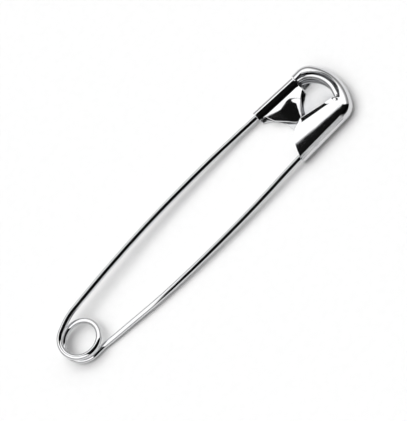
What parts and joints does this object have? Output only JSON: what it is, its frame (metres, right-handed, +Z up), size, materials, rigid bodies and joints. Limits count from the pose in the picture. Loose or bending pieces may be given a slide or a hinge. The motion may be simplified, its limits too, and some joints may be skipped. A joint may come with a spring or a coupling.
{
  "type": "safety pin",
  "caption": "Closed safety pin: a coiled spring wire with a bowed fixed arm and a needle arm that latches in a folded sheet-metal cap.",
  "frame": {"origin": "on the axis of the spring coil, in the plane that the pin lies on", "axes": "+X from the coil to the cap, +Y towards the fixed arm, +Z up, out of the flat back of the cap"},
  "size_m": [0.0539, 0.0114, 0.0028],
  "materials": {
    "wire": "bright nickel plate, drawn wire",
    "cap_sheet": "bright nickel plate, folded sheet"
  },
  "bodies": {
    "pin": {"cap": "cap_sheet", "fixed_arm": "wire", "spring_coil": "wire"},
    "needle": {"needle_arm": "wire"}
  },
  "joints": [
    {"name": "needle_swing", "type": "hinge", "parent": "pin", "child": "needle", "pos_m": [0, 0, 0.0004], "axis": [0, 0, -1], "range_deg": [-5, 40], "deforming": ["spring_coil"]}
  ]
}
